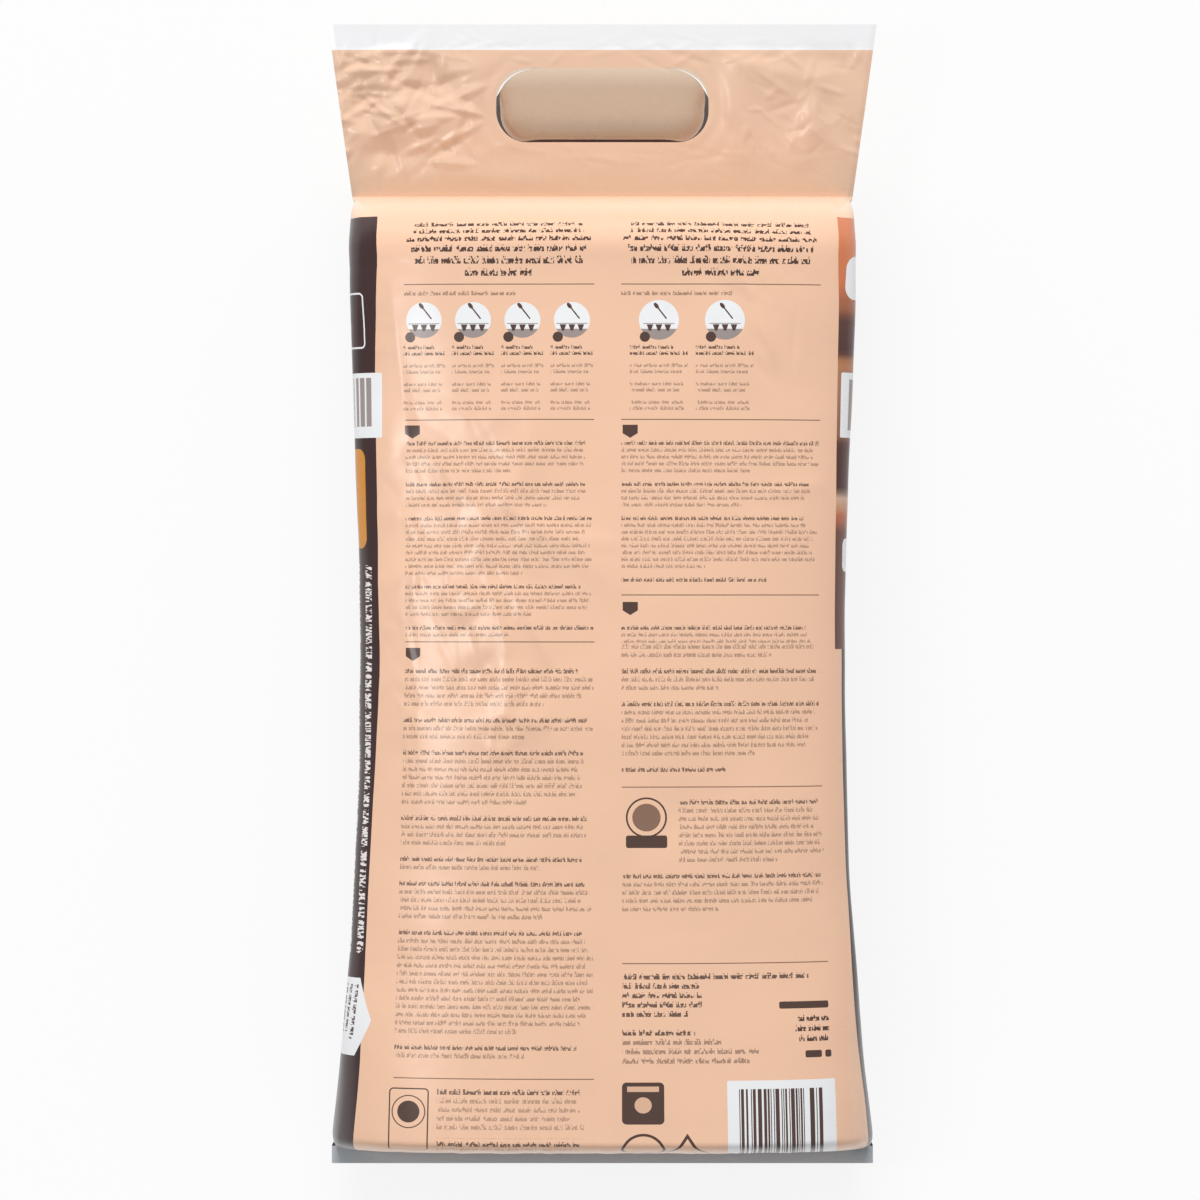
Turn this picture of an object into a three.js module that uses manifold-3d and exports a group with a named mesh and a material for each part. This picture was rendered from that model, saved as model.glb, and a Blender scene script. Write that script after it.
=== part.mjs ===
// A filled compost bag of printed plastic film, lying on its front with its back panel up.
// The film is one tube with a gusset folded into each side. A heat seal closes each end, and the
// flat header past the fill has a carry handle: a die-cut flap that hangs from its upper edge.
// Millimetres, +Z up. X runs across the bag, and Y along it from the base seal to the header.
// The origin is on the floor, under the middle of the bag.

import * as THREE from "three";
import { mergeVertices } from "three/addons/utils/BufferGeometryUtils.js";
import Module from "manifold-3d";

const { lerp, smoothstep, clamp, degToRad } = THREE.MathUtils;

// Film tube
const flatWidth = 250; // lay-flat width, which both seals keep
const gussetDepth = 30; // how far each side is folded in where the tube lies flat
const headerPly = 1.2; // thickness of the loose layers in the header
const sealPly = 0.8; // thickness of the welded layers in a seal

// Lengths along the bag
const baseSeal = 8; // fin that stands out past the fill
const bodyLength = 437; // filled part
const headerLength = 77.5; // flat part above the fill, with the top seal
const topSeal = 11.5;

// Filled part
const waistWidth = 219.5; // where the fill pulls the sides in most
const shoulderWidth = 229.5; // where the body meets the header
const bodyHeight = 114; // thickest part of the fill, as it lies
const shoulderHeight = 104; // thickness near the header
const pressedFlat = 4; // how deep the floor presses the underside in
const baseRound = 9; // length of the rounded end at the base
const shoulderRound = 38; // length of the rounded shoulder at the header
const underRound = 58; // length of the rounded ends underneath
const panelPower = 2.3; // squareness of the back panel across the body
const panelEndPower = 3.6; // squareness of both panels at the ends of the fill
const undersidePower = 3; // squareness of the front panel across the body
const gussetLine = 54; // height of the crease along the middle of each side
const gussetOpening = 80; // how far the fill opens each half of a gusset, in degrees
const pocketLength = 95; // how far from each end the gusset is still folding open
const filmEdge = 2; // width over which a flat edge of the film thins out
const waistPlace = 0.55; // share of the filled part that lies between its base and the waist
const flarePower = 2.4; // how late the sides flare out towards the base

// Height of the flat ends above the floor
const baseSealHeight = 40;
const headerHeight = 56;
const headerRise = 13; // how far the end of the header stands above its root

// Carry handle
const handleWidth = 97;
const handleHeight = 33.5;
const handleFromEdge = 19.5; // top edge of the bag to the hinge of the flap
const upperCorner = { across: 19, along: 15.5 };
const lowerCorner = { across: 14, along: 14 };
const cutWidth = 0.5; // gap along the cut
const hingeWidth = 56; // part of the flap's upper edge that is left uncut
const flapAngle = 24; // how far the flap is pushed in, in degrees
const flapBend = 14; // length over which the flap bends at its hinge

// Soft folds pressed into the header. Each runs from one point to another, measured across from
// the middle and down from the top edge, and rises above the film by its height.
const headerFolds = [
  { from: [-124, 60], to: [-84, 36], height: 2.6, width: 7 },
  { from: [-110, 14], to: [-80, 50], height: 2.0, width: 6 },
  { from: [-88, 10], to: [-62, 40], height: -1.8, width: 6 },
  { from: [-116, 26], to: [-94, 68], height: -1.8, width: 6 },
  { from: [-70, 60], to: [-54, 12], height: 1.5, width: 7 },
  { from: [54, 12], to: [96, 26], height: 1.5, width: 5 },
  { from: [58, 14], to: [62, 64], height: 1.8, width: 7 },
  { from: [100, 16], to: [90, 68], height: 1.5, width: 6 },
  { from: [-100, 66], to: [0, 76], height: 1.2, width: 6 },
];

// Broad folds in the back panel, placed in the same way. The last one is where the shoulder turns.
const panelFolds = [
  { from: [-72, 238], to: [-16, 345], height: 1.1, width: 9 },
  { from: [-56, 212], to: [16, 262], height: 0.9, width: 8 },
  { from: [40, 112], to: [80, 190], height: 1.0, width: 9 },
  { from: [-92, 120], to: [-68, 270], height: -1.2, width: 12 },
  { from: [-150, 100], to: [150, 100], height: 3.1, width: 8 },
];

// Fineness of the surface
const panelSteps = 28; // facets across each panel
const gussetSteps = 2; // facets across each half of a gusset
const baseStations = 13;
const bodyStations = 16;
const shoulderStations = 13;
const headerStations = 15;
const outlineSteps = 500; // points of a section before they are spaced evenly
const arcSteps = 10;

const overallLength = baseSeal + bodyLength + headerLength;
const baseEdge = -overallLength / 2;
const bodyStart = baseEdge + baseSeal;
const headerStart = bodyStart + bodyLength;
const topEdge = overallLength / 2;
const sealStart = topEdge - topSeal;
const hingeLine = topEdge - handleFromEdge;

// 0 at an end of the fill, 1 past its rounded part
function roundedEnd(distance, reach) {
  const left = clamp(1 - distance / reach, 0, 1);
  return Math.sqrt(1 - left * left);
}

// Height of a fold above the film at a place on the bag, highest halfway along the fold
function foldRise(fold, x, y) {
  const start = new THREE.Vector2(fold.from[0], topEdge - fold.from[1]);
  const run = new THREE.Vector2(fold.to[0], topEdge - fold.to[1]).sub(start);
  const place = new THREE.Vector2(x, y).sub(start);
  const along = clamp(place.dot(run) / run.lengthSq(), 0, 1);
  const offset = place.addScaledVector(run, -along).length();
  return fold.height * Math.sin(Math.PI * along) * Math.exp(-((offset / fold.width) ** 2));
}

const foldsRise = (folds, x, y) =>
  folds.reduce((sum, fold) => sum + foldRise(fold, x, y), 0);

// Middle height of the flat layers in the header, which lie smooth at the root and in the seal
function headerFilm(x, y) {
  const along = (y - headerStart) / headerLength;
  const fromSeal = sealStart - y;
  const loose = smoothstep(along, 0, 0.2) * smoothstep(fromSeal, -topSeal / 2, topSeal);
  const rise = headerRise * along * (1.5 - 0.5 * along);
  return headerHeight + rise + loose * foldsRise(headerFolds, x, y);
}

function flatSection(width, middle, ply) {
  const half = ply / 2;
  return {
    middle,
    tuckedEdge: width / 2,
    panelEdge: width / 2 - filmEdge,
    back: { edge: half, top: half, power: panelEndPower },
    front: { edge: half, top: half, power: panelEndPower },
  };
}

function headerSection(y) {
  const along = (y - headerStart) / headerLength;
  const width = lerp(shoulderWidth, flatWidth, along);
  const ply = lerp(headerPly, sealPly, smoothstep(y, sealStart - 1, sealStart + 1));
  return flatSection(width, 0, ply);
}

function bodySection(y) {
  const fromBase = y - bodyStart;
  const fromHeader = headerStart - y;
  const fromEnd = Math.min(fromBase, fromHeader);
  const along = fromBase / bodyLength;

  const baseFlare = Math.max(0, 1 - along / waistPlace) ** flarePower;
  const shoulderFlare = smoothstep(along, waistPlace, 0.95);
  const width =
    waistWidth +
    (flatWidth - waistWidth) * baseFlare +
    (shoulderWidth - waistWidth) * shoulderFlare;

  const atBase = 1 - smoothstep(along, 0, 0.22);
  const atHeader = smoothstep(along, 0.78, 1);
  const middle =
    gussetLine +
    (baseSealHeight - gussetLine) * atBase +
    (headerHeight - gussetLine) * atHeader;

  // Each half of a gusset keeps its depth as it opens from flat to nearly upright
  const shut = Math.max(0, 1 - fromEnd / pocketLength) ** 2;
  const opening = degToRad(gussetOpening) * (1 - shut);
  const edge = Math.max(lerp(sealPly, headerPly, along) / 2, gussetDepth * Math.sin(opening));
  const opened = smoothstep(edge, 0, 0.7 * gussetDepth);

  const crown = lerp(bodyHeight, shoulderHeight, smoothstep(along, 0.45, 1)) - middle;
  const fullBack = roundedEnd(fromBase, baseRound) * roundedEnd(fromHeader, shoulderRound);
  const fullFront = roundedEnd(fromBase, underRound) * roundedEnd(fromHeader, underRound);
  const settled = smoothstep(fromEnd, 0, pocketLength);
  return {
    middle,
    tuckedEdge: width / 2 - gussetDepth * Math.cos(opening) * opened,
    panelEdge: width / 2 - filmEdge * (1 - opened) ** 8,
    back: {
      edge,
      top: lerp(edge, crown, fullBack),
      power: lerp(panelEndPower, panelPower, settled),
    },
    front: {
      edge,
      top: lerp(edge, middle + pressedFlat, fullFront),
      power: lerp(panelEndPower, undersidePower, settled),
    },
  };
}

function sectionAt(y) {
  if (y <= bodyStart) return flatSection(flatWidth, baseSealHeight, sealPly);
  return y < headerStart ? bodySection(y) : headerSection(y);
}

// A panel from its right edge over to its left one, as a rounded arch
function panelArch(halfWidth, panel) {
  const arch = [];
  for (let i = 0; i <= outlineSteps; i++) {
    const angle = (Math.PI * i) / outlineSteps;
    const across = Math.abs(Math.cos(angle)) ** (2 / panel.power);
    const up = Math.sin(angle) ** (2 / panel.power);
    const x = Math.sign(Math.cos(angle)) * across * halfWidth;
    arch.push(new THREE.Vector2(x, lerp(panel.edge, panel.top, up)));
  }
  return arch;
}

// Points spaced evenly along a line
function spacedEvenly(line, steps) {
  const reached = [0];
  for (let i = 1; i < line.length; i++) {
    reached.push(reached[i - 1] + line[i].distanceTo(line[i - 1]));
  }
  const points = [];
  let next = 1;
  for (let i = 0; i <= steps; i++) {
    const goal = (reached.at(-1) * i) / steps;
    while (next < line.length - 1 && reached[next] < goal) next++;
    const share = (goal - reached[next - 1]) / (reached[next] - reached[next - 1]);
    points.push(line[next - 1].clone().lerp(line[next], clamp(share, 0, 1)));
  }
  return points;
}

// One half of a section: out along the right gusset, over the panel, and in along the left gusset
function filmHalf(section, panel) {
  const right = [];
  for (let i = 0; i < gussetSteps; i++) {
    const share = i / gussetSteps;
    const x = lerp(section.tuckedEdge, section.panelEdge, share);
    right.push(new THREE.Vector2(x, panel.edge * share));
  }
  const left = right.map((point) => new THREE.Vector2(-point.x, point.y)).reverse();
  return [...right, ...spacedEvenly(panelArch(section.panelEdge, panel), panelSteps), ...left];
}

// A ring of film at one place along the bag: over the back panel, then back along the front
function filmRing(y) {
  const section = sectionAt(y);
  const onBack = ({ x, y: up }) => {
    if (y >= headerStart) return new THREE.Vector3(x, y, headerFilm(x, y) + up);
    const dimple = (foldsRise(panelFolds, x, y) * up) / section.back.top;
    return new THREE.Vector3(x, y, section.middle + up + dimple);
  };
  const onFront = ({ x, y: down }) => {
    const middle = y >= headerStart ? headerFilm(x, y) : section.middle;
    return new THREE.Vector3(x, y, Math.max(0, middle - down));
  };
  const back = filmHalf(section, section.back).map(onBack);
  const front = filmHalf(section, section.front).map(onFront);
  return [...back, ...front.slice(1, -1).reverse()];
}

// Places along the bag, closer together where the film turns over at the ends of the fill
function stations() {
  const places = [baseEdge];
  const baseZone = underRound * 1.4;
  const shoulderZone = shoulderRound * 1.4;
  for (let i = 0; i < baseStations; i++) {
    places.push(bodyStart + baseZone * (i / baseStations) ** 1.9);
  }
  for (let i = 0; i < bodyStations; i++) {
    places.push(lerp(bodyStart + baseZone, headerStart - shoulderZone, i / bodyStations));
  }
  for (let i = 0; i < shoulderStations; i++) {
    places.push(headerStart - shoulderZone * (1 - i / shoulderStations) ** 1.9);
  }
  for (let i = 0; i <= headerStations; i++) {
    places.push(lerp(headerStart, topEdge, i / headerStations));
  }
  return places;
}

// The closed skin: rings joined along the bag, and each flat end closed between its two layers
function bagGeometry() {
  const rings = stations().map(filmRing);
  const count = rings[0].length;
  const index = [];
  for (let r = 0; r + 1 < rings.length; r++) {
    for (let i = 0; i < count; i++) {
      const a = r * count + i;
      const b = r * count + ((i + 1) % count);
      index.push(a, a + count, b, b, a + count, b + count);
    }
  }
  const closeEnd = (first, outwards) => {
    for (let i = 0; i < count / 2; i++) {
      const back = [first + i, first + i + 1];
      const front = [first + ((count - i) % count), first + count - i - 1];
      const faces = [back[0], back[1], front[0], front[0], back[1], front[1]];
      const kept = outwards ? faces : faces.reverse();
      for (const face of [kept.slice(0, 3), kept.slice(3)]) {
        if (new Set(face).size === 3) index.push(...face);
      }
    }
  };
  closeEnd(0, true);
  closeEnd((rings.length - 1) * count, false);
  const geometry = new THREE.BufferGeometry().setFromPoints(rings.flat());
  geometry.setIndex(index);
  return geometry;
}

// Outline of the hole that the flap leaves
function handleOutline() {
  const side = handleWidth / 2;
  const foot = hingeLine - handleHeight;
  const upper = side - upperCorner.across;
  const lower = side - lowerCorner.across;
  const upperY = hingeLine - upperCorner.along;
  const lowerY = foot + lowerCorner.along;
  return new THREE.Shape()
    .moveTo(upper, hingeLine)
    .absellipse(-upper, upperY, upperCorner.across, upperCorner.along, Math.PI / 2, Math.PI)
    .absellipse(-lower, lowerY, lowerCorner.across, lowerCorner.along, Math.PI, 1.5 * Math.PI)
    .absellipse(lower, lowerY, lowerCorner.across, lowerCorner.along, 1.5 * Math.PI, 2 * Math.PI)
    .absellipse(upper, upperY, upperCorner.across, upperCorner.along, 0, Math.PI / 2);
}

// Outline of the flap, which runs on past its hinge so that no cut is made there
function flapOutline() {
  const side = handleWidth / 2 - cutWidth;
  const foot = hingeLine - handleHeight + cutWidth;
  const hinge = hingeWidth / 2;
  const upperX = side - hinge;
  const upperY = upperCorner.along + cutWidth;
  const shoulder = hingeLine - upperY;
  const lower = handleWidth / 2 - lowerCorner.across;
  const lowerX = side - lower;
  const lowerY = lowerCorner.along - cutWidth;
  const turn = foot + lowerY;
  return new THREE.Shape()
    .moveTo(hinge, hingeLine + upperY)
    .lineTo(-hinge, hingeLine + upperY)
    .absellipse(-hinge, shoulder, upperX, upperY, Math.PI / 2, Math.PI)
    .absellipse(-lower, turn, lowerX, lowerY, Math.PI, 1.5 * Math.PI)
    .absellipse(lower, turn, lowerX, lowerY, 1.5 * Math.PI, 2 * Math.PI)
    .absellipse(hinge, shoulder, upperX, upperY, 0, Math.PI / 2);
}

// A straight-sided block of an outline, taller than the header is deep
function punch(outline) {
  const depth = headerHeight + bodyHeight;
  const options = { depth, bevelEnabled: false, curveSegments: arcSteps };
  return new THREE.ExtrudeGeometry(outline, options);
}

// How far the flap lies below the film at a distance from its hinge
function flapDrop(distance) {
  const slope = Math.tan(degToRad(flapAngle));
  if (distance <= 0) return 0;
  return distance < flapBend
    ? (slope * distance * distance) / (2 * flapBend)
    : slope * (distance - flapBend / 2);
}

function isInside(x, y, outline) {
  let inside = false;
  outline.forEach((a, i) => {
    const b = outline[(i + 1) % outline.length];
    const crosses = a.y > y !== b.y > y;
    if (crosses && x < a.x + ((y - a.y) / (b.y - a.y)) * (b.x - a.x)) inside = !inside;
  });
  return inside;
}

const wasm = await Module();
wasm.setup();

function toSolid(geometry) {
  const bare = geometry.clone();
  bare.deleteAttribute("normal");
  bare.deleteAttribute("uv");
  const merged = mergeVertices(bare, 1e-4);
  const vertProperties = merged.attributes.position.array;
  const triVerts = new Uint32Array(merged.index.array);
  return new wasm.Manifold(new wasm.Mesh({ numProp: 3, vertProperties, triVerts }));
}

function toGeometry(solid) {
  const mesh = solid.getMesh();
  const geometry = new THREE.BufferGeometry();
  geometry.setAttribute("position", new THREE.BufferAttribute(mesh.vertProperties, 3));
  geometry.setIndex(new THREE.BufferAttribute(mesh.triVerts, 1));
  return geometry;
}

// Pushes the cut flap in about its hinge
function bendFlap(geometry) {
  const middle = new THREE.Vector2(0, hingeLine - handleHeight / 2);
  const grown = 1 + cutWidth / 2 / handleWidth;
  const outline = flapOutline()
    .getPoints(arcSteps)
    .map((point) => point.sub(middle).multiplyScalar(grown).add(middle));
  const position = geometry.attributes.position;
  for (let i = 0; i < position.count; i++) {
    const x = position.getX(i);
    const y = position.getY(i);
    if (!isInside(x, y, outline)) continue;
    position.setZ(i, position.getZ(i) - flapDrop(hingeLine - y));
  }
}

function compostBag() {
  const cut = toSolid(punch(handleOutline())).subtract(toSolid(punch(flapOutline())));
  const geometry = toGeometry(toSolid(bagGeometry()).subtract(cut));
  bendFlap(geometry);
  geometry.computeVertexNormals();
  const film = new THREE.MeshStandardMaterial({
    color: 0xf0c3a4,
    roughness: 0.42,
    metalness: 0,
  });
  const mesh = new THREE.Mesh(geometry, film);
  mesh.name = "compost_bag";
  return mesh;
}

const bag = new THREE.Group();
bag.add(compostBag());

export default bag;
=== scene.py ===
import math

import bmesh
import bpy
import numpy as np
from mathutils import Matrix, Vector, noise


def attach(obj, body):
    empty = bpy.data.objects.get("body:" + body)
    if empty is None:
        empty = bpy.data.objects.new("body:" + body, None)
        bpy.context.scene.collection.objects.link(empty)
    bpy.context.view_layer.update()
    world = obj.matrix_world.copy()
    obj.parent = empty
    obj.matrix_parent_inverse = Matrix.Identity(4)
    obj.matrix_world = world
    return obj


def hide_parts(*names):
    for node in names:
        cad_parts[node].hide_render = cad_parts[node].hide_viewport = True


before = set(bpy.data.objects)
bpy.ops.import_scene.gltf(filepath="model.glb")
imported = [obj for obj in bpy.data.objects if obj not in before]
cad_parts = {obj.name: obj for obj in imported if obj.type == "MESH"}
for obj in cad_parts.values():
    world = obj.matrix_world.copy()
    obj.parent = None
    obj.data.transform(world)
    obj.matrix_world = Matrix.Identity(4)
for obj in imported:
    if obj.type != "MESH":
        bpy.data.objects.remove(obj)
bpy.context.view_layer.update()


# Film tube: one web of printed polyethylene, welded into a tube with a gusset folded into each side.
# The fill rounds it out as it lies on its front, and above the fill its layers lie flat as a header.
# The web starts as a flat grid, and each point of it is carried to its place on the filled bag.
flat_width, gusset_depth = 250.0, 30.0
base_seal, body_length, header_length, top_seal = 8.0, 437.0, 77.5, 11.5
waist_width, shoulder_width = 219.5, 229.5
body_height, shoulder_height, pressed_flat = 114.0, 104.0, 4.0
base_round, shoulder_round, under_round = 9.0, 38.0, 58.0
gusset_line, gusset_opening, pocket_length = 54.0, math.radians(80), 95.0
base_seal_height, header_height, header_rise = 40.0, 56.0, 13.0
header_ply, seal_ply, film_edge = 1.2, 0.8, 2.0

top_edge = (base_seal + body_length + header_length) / 2
header_start = top_edge - header_length
body_start = header_start - body_length
seal_start = top_edge - top_seal

back_steps, front_steps, gusset_steps = 240, 40, 7
back_half, front_half = back_steps + 2 * gusset_steps, front_steps + 2 * gusset_steps


def smooth(value, low, high):
    share = np.clip((value - low) / (high - low), 0, 1)
    return share * share * (3 - 2 * share)


def rounded_end(distance, reach):
    left = np.clip(1 - distance / reach, 0, 1)
    return np.sqrt(1 - left * left)


def even_arch(half_width, edge, top, power, steps):
    angle = np.linspace(0, np.pi, 801)
    across = np.sign(np.cos(angle)) * np.abs(np.cos(angle)) ** (2 / power) * half_width
    up = edge + (top - edge) * np.sin(angle) ** (2 / power)
    reached = np.concatenate(([0], np.cumsum(np.hypot(np.diff(across), np.diff(up)))))
    goal = np.linspace(0, reached[-1], steps + 1)
    return np.interp(goal, reached, across), np.interp(goal, reached, up)


def film_half(tucked_edge, panel_edge, edge, top, power, steps):
    across, up = even_arch(panel_edge, edge, top, power, steps)
    share = np.arange(gusset_steps) / gusset_steps
    gusset_x = tucked_edge + (panel_edge - tucked_edge) * share
    gusset_up = edge * share
    x = np.concatenate((gusset_x, across, -gusset_x[::-1]))
    return x, np.concatenate((gusset_up, up, gusset_up[::-1]))


def film_section(y):
    if y <= body_start or y >= header_start:
        along = np.clip((y - header_start) / header_length, 0, 1)
        width = shoulder_width + (flat_width - shoulder_width) * along
        if y <= body_start:
            width = flat_width
        ply = seal_ply if y <= body_start else header_ply
        ply += (seal_ply - ply) * smooth(y, seal_start - 1, seal_start + 1)
        middle = base_seal_height if y <= body_start else 0
        back, front = (film_half(width / 2, width / 2 - film_edge, ply / 2, ply / 2, 3.6, steps)
                       for steps in (back_steps, front_steps))
        return middle, back, front
    from_base, from_header = y - body_start, header_start - y
    from_end, along = min(from_base, from_header), from_base / body_length
    width = waist_width + (flat_width - waist_width) * max(0, 1 - along / 0.55) ** 2.4
    width += (shoulder_width - waist_width) * smooth(along, 0.55, 0.95)
    middle = gusset_line + (base_seal_height - gusset_line) * (1 - smooth(along, 0, 0.22))
    middle += (header_height - gusset_line) * smooth(along, 0.78, 1)
    shut = max(0, 1 - from_end / pocket_length) ** 2
    opening = gusset_opening * (1 - shut)
    ply = seal_ply + (header_ply - seal_ply) * along
    edge = max(ply / 2, gusset_depth * math.sin(opening))
    opened = smooth(edge, 0, 0.7 * gusset_depth)
    crown = body_height + (shoulder_height - body_height) * smooth(along, 0.45, 1) - middle
    full_back = rounded_end(from_base, base_round) * rounded_end(from_header, shoulder_round)
    full_front = rounded_end(from_base, under_round) * rounded_end(from_header, under_round)
    settled = smooth(from_end, 0, pocket_length)
    tucked_edge = width / 2 - gusset_depth * math.cos(opening) * opened
    panel_edge = width / 2 - film_edge * (1 - opened) ** 8
    back = film_half(tucked_edge, panel_edge, edge, edge + (crown - edge) * full_back,
                     3.6 - 1.3 * settled, back_steps)
    front = film_half(tucked_edge, panel_edge, edge,
                      edge + (middle + pressed_flat - edge) * full_front, 3.6 - 0.6 * settled, front_steps)
    return middle, back, front


# Places along the web, close together where the film turns over or creases
stations = np.concatenate((
    np.linspace(-top_edge, body_start, 6)[:-1],
    body_start + 80 * (np.arange(40) / 40) ** 1.6,
    np.linspace(body_start + 80, header_start - 80, 112)[:-1],
    header_start - 80 * (1 - np.arange(44) / 44) ** 1.6,
    np.linspace(header_start, top_edge, 110),
))
ring_steps, length_steps = back_half + front_half, len(stations) - 1

# Each place on the web is the distance along the film from the middle of its panel. The fill stretches
# the film below the waist, and near its side it is drawn out to the crease, at half the lay-flat width.
true_width, stretch_start, stretch = 100.0, -21.0, 0.0003


def web_places(x, up, y):
    reached = np.concatenate(([0], np.cumsum(np.hypot(np.diff(x), np.diff(up)))))
    places = (reached[len(reached) // 2] - reached) / (1 + stretch * max(0, stretch_start - y))
    crease = places[gusset_steps]
    drawn = (flat_width / 2 - true_width) / (crease - true_width)
    panel = np.sign(places) * np.maximum(0, np.abs(places) - true_width) * (drawn - 1) + places
    gusset = flat_width / 2 + gusset_depth * (1 - np.arange(gusset_steps) / gusset_steps)
    return np.concatenate((gusset, panel[gusset_steps:-gusset_steps], -gusset[::-1]))


web = np.zeros((len(stations), ring_steps + 1, 3))
across_web = np.zeros((len(stations), ring_steps + 1))
for row, y in enumerate(stations):
    middle, back, front = film_section(y)
    along = max(0, (y - header_start) / header_length)
    lift = header_height + header_rise * along * (1.5 - 0.5 * along) if y >= header_start else middle
    web[row, :, 0] = np.concatenate((back[0], front[0][-2::-1]))
    web[row, :, 1] = y
    web[row, :, 2] = lift + np.concatenate((back[1], -front[1][-2::-1]))
    over_front = -flat_width - 2 * gusset_depth - web_places(*front, y)
    across_web[row] = np.concatenate((web_places(*back, y), over_front[-2::-1]))

# Folds that the film keeps: pressed into the header, and broad ones across the filled back panel.
# Each runs from one point to another, across from the middle and down from the top edge.
header_folds = (
    ((-124, 60), (-84, 36), 2.6, 7), ((-110, 14), (-80, 50), 2.0, 6),
    ((-88, 10), (-62, 40), -1.8, 6), ((-116, 26), (-94, 68), -1.8, 6),
    ((-70, 60), (-54, 12), 1.5, 7), ((54, 12), (96, 26), 1.5, 5),
    ((58, 14), (62, 64), 1.8, 7), ((100, 16), (90, 68), 1.5, 6),
    ((-100, 66), (0, 76), 1.2, 6),
)
panel_folds = (
    ((-72, 238), (-16, 345), 1.1, 9), ((-56, 212), (16, 262), 0.9, 8),
    ((40, 112), (80, 190), 1.0, 9), ((-92, 120), (-68, 270), -1.2, 12),
    ((-150, 100), (150, 100), 3.4, 8),
)


def fold_rise(folds, x, y):
    rise = np.zeros_like(x)
    for start, end, height, width in folds:
        run = np.array((end[0] - start[0], start[1] - end[1]), float)
        across, along = x - start[0], y - (top_edge - start[1])
        share = np.clip((across * run[0] + along * run[1]) / (run @ run), 0, 1)
        offset = np.hypot(across - share * run[0], along - share * run[1])
        rise += height * np.sin(np.pi * share) * np.exp(-((offset / width) ** 2))
    return rise


def crease_rise(creases, x, y):
    rise = np.zeros_like(x)
    for start, end, height, width in creases:
        run = np.array((end[0] - start[0], end[1] - start[1]), float)
        across, along = x - start[0], y - start[1]
        share = np.clip((across * run[0] + along * run[1]) / (run @ run), 0, 1)
        offset = np.hypot(across - share * run[0], along - share * run[1])
        rise += height * np.sin(np.pi * share) ** 0.7 * np.exp(-offset / width)
    return rise


def crumple_rise(seed, count, centre, spread, size, slope, lean, x, y):
    chance = np.random.RandomState(seed)
    rise = np.zeros_like(x)
    for _ in range(count):
        at = np.array(centre) + np.array(spread) * chance.uniform(-1, 1, 2)
        reach = size * chance.uniform(0.6, 1.5)
        turn = lean + chance.normal(0, 0.55)
        across, along = x - at[0], y - at[1]
        offset = np.abs(across * math.sin(turn) - along * math.cos(turn))
        window = np.exp(-(across ** 2 + along ** 2) / reach ** 2)
        rise += slope * chance.uniform(-1, 1) * (0.5 * reach - offset) * window
    return rise


def crinkle_rise(seed, count, centre, spread, length, width, slope, lean, sway, x, y):
    chance = np.random.RandomState(seed)
    rise = np.zeros_like(x)
    for _ in range(count):
        at = np.array(centre) + np.array(spread) * chance.uniform(-1, 1, 2)
        reach, half = length * chance.uniform(0.5, 1.6), width * chance.uniform(0.7, 1.5)
        turn = lean + chance.normal(0, sway)
        height = slope * half * chance.choice((-0.8, 1))
        across, along = x - at[0], y - at[1]
        run = across * math.cos(turn) + along * math.sin(turn)
        offset = np.abs(along * math.cos(turn) - across * math.sin(turn))
        taper = np.clip(1 - (run / reach) ** 2, 0, 1)
        rise += height * taper * np.clip(1 - offset / (half * (0.3 + 0.7 * taper)), 0, 1)
    return rise


# Small facets and sharp crinkles in the film. A row of facets says its seed, count, middle, spread, size,
# slope and lean, and a row of crinkles its seed, count, middle, spread, length, width, slope, lean and sway.
header_facets = (
    (3, 40, (-92, 226), (32, 26), 11, 0.12, 0.5),
    (5, 26, (84, 224), (36, 24), 13, 0.09, -1.0),
    (13, 26, (0, 200), (110, 10), 15, 0.05, 0.1),
)
header_crinkles = (
    (17, 64, (-92, 222), (30, 32), 10, 2.6, 0.36, 0.75, 0.7),
    (19, 40, (88, 226), (30, 26), 6, 2.0, 0.2, -1.1, 0.9),
    (23, 36, (0, 250), (90, 5), 9, 1.6, 0.18, 0.15, 0.35),
    (29, 40, (0, 196), (105, 10), 11, 2.0, 0.08, 0.1, 0.4),
)
panel_facets = (
    (21, 60, (0, -30), (100, 190), 30, 0.018, 0.9),
    (34, 70, (-62, 8), (36, 74), 13, 0.1, 0.9),
    (55, 14, (70, 135), (22, 34), 14, 0.06, -1.1),
)
panel_crinkles = (
    (61, 60, (-66, 10), (32, 78), 16, 2.4, 0.1, -0.9, 0.5),
    (67, 26, (-98, 138), (12, 30), 12, 2.2, 0.1, 0.1, 0.25),
    (71, 18, (70, 132), (20, 34), 12, 2.2, 0.13, -1.0, 0.4),
)


def crumpled_film(facets, crinkles, x, y):
    rise = np.zeros_like(x)
    for facet in facets:
        rise += crumple_rise(*facet, x, y)
    for crinkle in crinkles:
        rise += crinkle_rise(*crinkle, x, y)
    return rise


x, y = web[:, :, 0], web[:, :, 1]
on_back = np.arange(ring_steps + 1) <= back_half
in_header = y >= header_start
loose = smooth(y, header_start, header_start + 0.2 * header_length)
loose *= smooth(seal_start - y, -top_seal / 2, top_seal)
crumpled = smooth(y, header_start + 2, header_start + 22)
crumpled *= 1 - 0.8 * smooth(y, seal_start - 6, seal_start + 6)
crumpled *= smooth(top_edge - y, 0, 4)
header_crumple = crumpled_film(header_facets, header_crinkles, x, y)

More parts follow.
